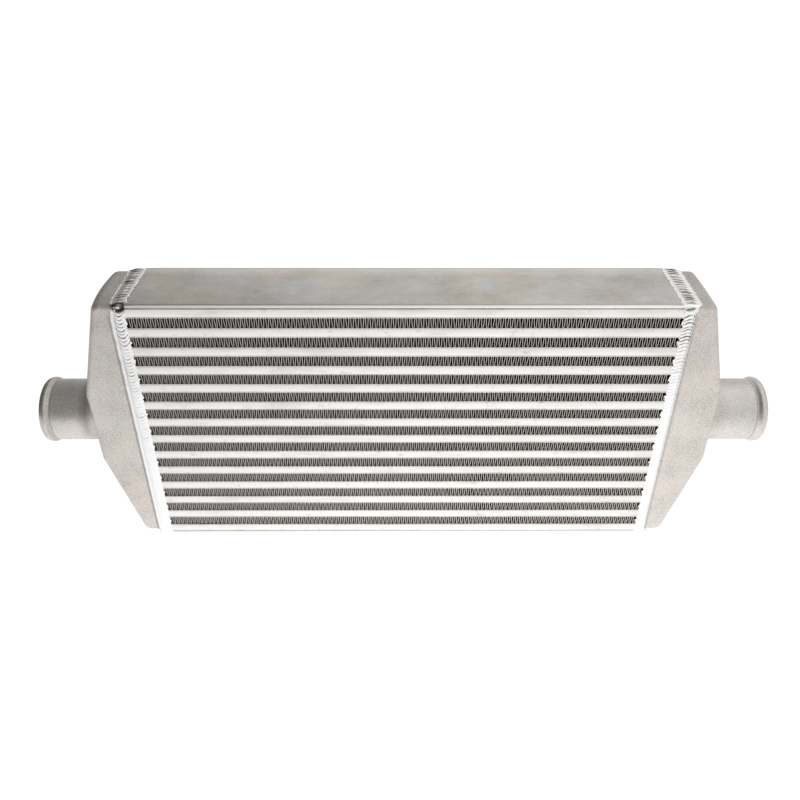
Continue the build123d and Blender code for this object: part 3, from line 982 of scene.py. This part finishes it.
def floor_material():
    """Matte white paper, drawn white to the camera, with the object's soft shadow kept
    by a share of plain diffuse shading. To mirrored rays it glows as a painted pool of
    light, white near the object and dimmer with distance, as a lit pool on a sweep looks,
    and a little less to the left."""
    material, tree = new_material("white_paper")
    paper = add(tree, "BsdfDiffuse", linear("#f4f4f4"))
    here = add(tree, "TexCoord", out="Object")
    distance = add(tree, "VectorMath", here, out="Value", operation="LENGTH")
    pool = add(tree, "MapRange", distance, FLOOR_FADE_FROM, FLOOR_FADE,
               FLOOR_MIRRORED_NEAR, FLOOR_MIRRORED_FAR)
    less_left = add(tree, "MapRange", add(tree, "SeparateXYZ", here, out="X"), -0.6, 0.6, 0.83, 1.0)
    pool = add(tree, "Math", pool, less_left, operation="MULTIPLY")
    to_camera = add(tree, "LightPath", out="Is Camera Ray")
    mirrored = add(tree, "LightPath", out="Is Glossy Ray")
    glow = add(tree, "Mix", to_camera, sockets={2: pool, 3: FLOOR_SEEN}, data_type="FLOAT")
    white = add(tree, "Emission", sockets={"Strength": glow})
    seen = add(tree, "Math", to_camera, mirrored, operation="MAXIMUM")
    share = add(tree, "Math", seen, FLOOR_GLOW_SHARE, operation="MULTIPLY")
    add(tree, "OutputMaterial", add(tree, "MixShader", share, paper, white))
    return material


floor_mesh = bpy.data.meshes.new("floor")
edge = FLOOR_SIZE / 2
floor_mesh.from_pydata([(-edge, -edge, 0), (edge, -edge, 0), (edge, edge, 0), (-edge, edge, 0)],
                       [], [(0, 1, 2, 3)])
floor_mesh.materials.append(floor_material())
floor = bpy.data.objects.new("floor", floor_mesh)
bpy.context.scene.collection.objects.link(floor)

# The room's brightness by direction: dimmer walls to the far left, right and front,
# and a ceiling that brightens from left to right. The camera sees plain white.
world = bpy.data.worlds.new("studio")
world.use_nodes = True
bpy.context.scene.world = world
tree = world.node_tree
tree.nodes.clear()
direction = add(tree, "TexCoord", out="Generated")
to_right = add(tree, "SeparateXYZ", direction, out="X")
walls = add(tree, "MapRange", to_right, -0.6, 0.6, 0.5, 0.82)
left_wall = add(tree, "MapRange", to_right, -0.46, -0.2, 0.1, 0.84)
right_wall = add(tree, "MapRange", to_right, 0.12, 0.4, 0.73, 0.57)
for wall in (left_wall, right_wall):
    walls = add(tree, "Math", walls, wall, operation="MINIMUM")
front_dim = add(tree, "MapRange", to_right, -0.3, 0.35, 0.6, 0.9)
front_right = add(tree, "MapRange", to_right, 0.26, 0.36, 0, 0.5)
front_dim = add(tree, "Math", front_dim, front_right, operation="ADD")
toward_back = add(tree, "MapRange", add(tree, "SeparateXYZ", direction, out="Y"), -0.9, 0.2, 0, 1)
dim = add(tree, "Mix", toward_back, sockets={2: front_dim, 3: 1.0}, data_type="FLOAT")
walls = add(tree, "Math", walls, dim, operation="MULTIPLY")
ceiling = add(tree, "MapRange", to_right, -0.45, 0.45, 0.08, 1.0)
upward = add(tree, "MapRange", add(tree, "SeparateXYZ", direction, out="Z"), 0.5, 0.85, 0, 1)
level = add(tree, "Mix", upward, sockets={2: walls, 3: ceiling}, data_type="FLOAT")
room = add(tree, "Background", linear("#ffffff"), level)
backdrop = add(tree, "Background", linear("#ffffff"), 1.0)
to_camera = add(tree, "LightPath", out="Is Camera Ray")
add(tree, "OutputWorld", add(tree, "MixShader", to_camera, room, backdrop))

# One large soft lamp above the front. It is left out of mirrored light, so it only
# lights the matte film on the welds.
lamp = bpy.data.lights.new("key_light", "AREA")
lamp.size = LAMP_SIZE
lamp.energy = LAMP_POWER
holder = bpy.data.objects.new("key_light", lamp)
holder.location = LAMP_PLACE
holder.visible_glossy = False
aim = np.array(LAMP_TARGET) - np.array(LAMP_PLACE)
holder.rotation_euler = (math.atan2(math.hypot(aim[0], aim[1]), -aim[2]), 0, math.atan2(-aim[0], aim[1]))
bpy.context.scene.collection.objects.link(holder)

# ---------------------------------------------------------------- camera
# Looks down on the front at about 34 degrees, from two thirds of a metre in front and
# as far above the floor.

CAMERA_PLACE = (-0.0081, -0.6710, 0.6622)
CAMERA_PITCH = math.radians(33.82)
CAMERA_ROLL = math.radians(0.17)
CAMERA_YAW = math.radians(-0.32)
SENSOR_WIDTH = 36
FOCAL_SHARE = 779.4 / 800
HORIZON_SHIFT = -0.0491

camera_data = bpy.data.cameras.new("camera")
camera_data.sensor_width = SENSOR_WIDTH
camera_data.lens = SENSOR_WIDTH * FOCAL_SHARE
camera_data.shift_y = HORIZON_SHIFT
camera_data.clip_start = 0.01
camera = bpy.data.objects.new("camera", camera_data)
camera.location = CAMERA_PLACE
turned = Matrix.Rotation(CAMERA_YAW, 3, "Z") @ Matrix.Rotation(math.pi / 2 - CAMERA_PITCH, 3, "X")
camera.rotation_euler = (turned @ Matrix.Rotation(CAMERA_ROLL, 3, "Z")).to_euler()
bpy.context.scene.collection.objects.link(camera)
bpy.context.scene.camera = camera
bpy.context.scene.view_settings.view_transform = "Standard"
